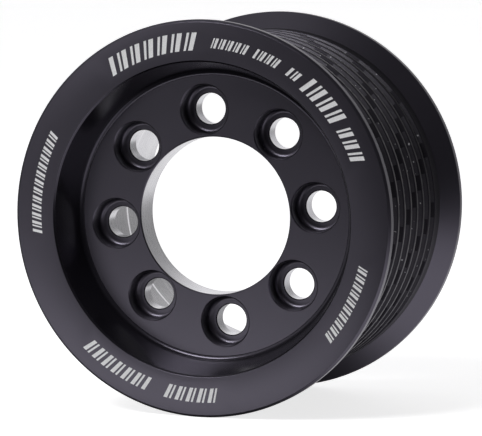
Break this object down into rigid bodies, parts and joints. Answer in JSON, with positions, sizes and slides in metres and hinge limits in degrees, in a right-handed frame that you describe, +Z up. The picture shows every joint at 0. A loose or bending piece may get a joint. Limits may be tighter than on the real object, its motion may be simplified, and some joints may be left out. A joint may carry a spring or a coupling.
{
  "type": "belt pulley",
  "caption": "Flanged poly-V belt pulley: a grooved drum, a recessed web with counterbored screw holes round a pilot bore, and a hollow back that fits over a hub.",
  "frame": {"origin": "on the axis, midway between the front and rear faces", "axes": "+Y along the axis from the front face to the rear, +Z up, the front face towards -Y"},
  "size_m": [0.0666, 0.042, 0.0666],
  "materials": {
    "black_anodised": "satin black anodising outside, in the recess and in the screw seats; bare machined metal in the pilot bore, the screw holes and the back cavity"
  },
  "bodies": {
    "root": {"front_flange": "black_anodised", "ribbed_drum": "black_anodised", "rear_flange": "black_anodised", "bolt_web": "black_anodised"}
  },
  "joints": []
}
